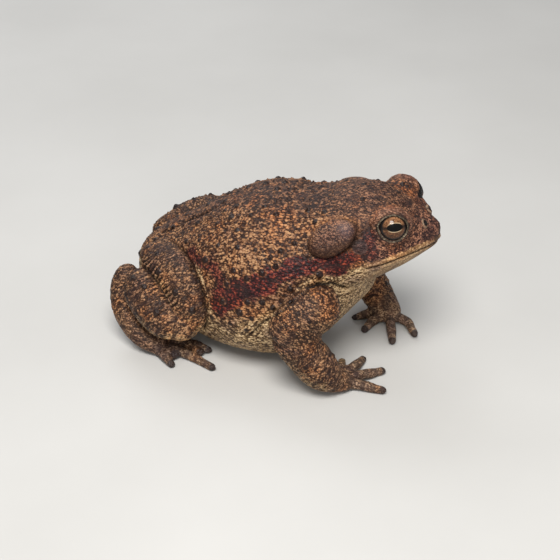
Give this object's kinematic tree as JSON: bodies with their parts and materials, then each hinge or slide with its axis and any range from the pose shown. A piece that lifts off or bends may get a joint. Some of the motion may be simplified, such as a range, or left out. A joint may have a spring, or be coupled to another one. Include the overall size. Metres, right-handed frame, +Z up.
{
  "type": "smooth-sided toad",
  "caption": "Life-size still model of a large sitting toad, plump, with raised head, folded hind legs, warty brown back, a dark red band on the flank and a pale belly.",
  "frame": {"origin": "on the floor, under the middle of the toad's box", "axes": "+X the way the toad looks, +Y its left side, +Z up"},
  "size_m": [0.1596, 0.112, 0.0906],
  "materials": {
    "back_skin": "dry warty skin, warm brown with dark warts, dark red along the flank, cream belly",
    "leg_skin": "dry granular skin, brown with dark bars, banded toes with dark tips",
    "throat_skin": "finely granular pale throat with dark specks and a tan lip",
    "gland_skin": "smoother, slightly moist reddish brown gland with fine pits",
    "eye_surface": "clear wet eye with a golden brown iris and a flat black pupil"
  },
  "bodies": {
    "root": {"torso": "back_skin", "head": "back_skin", "lower_jaw": "throat_skin", "parotoid_right": "gland_skin", "parotoid_left": "gland_skin", "eye_right": "eye_surface", "eye_left": "eye_surface", "upper_arm_right": "leg_skin", "forearm_right": "leg_skin", "hand_right": "leg_skin", "thigh_right": "leg_skin", "shank_right": "leg_skin", "tarsus_right": "leg_skin", "foot_right": "leg_skin", "upper_arm_left": "leg_skin", "forearm_left": "leg_skin", "hand_left": "leg_skin", "thigh_left": "leg_skin", "shank_left": "leg_skin", "tarsus_left": "leg_skin", "foot_left": "leg_skin"}
  },
  "joints": []
}
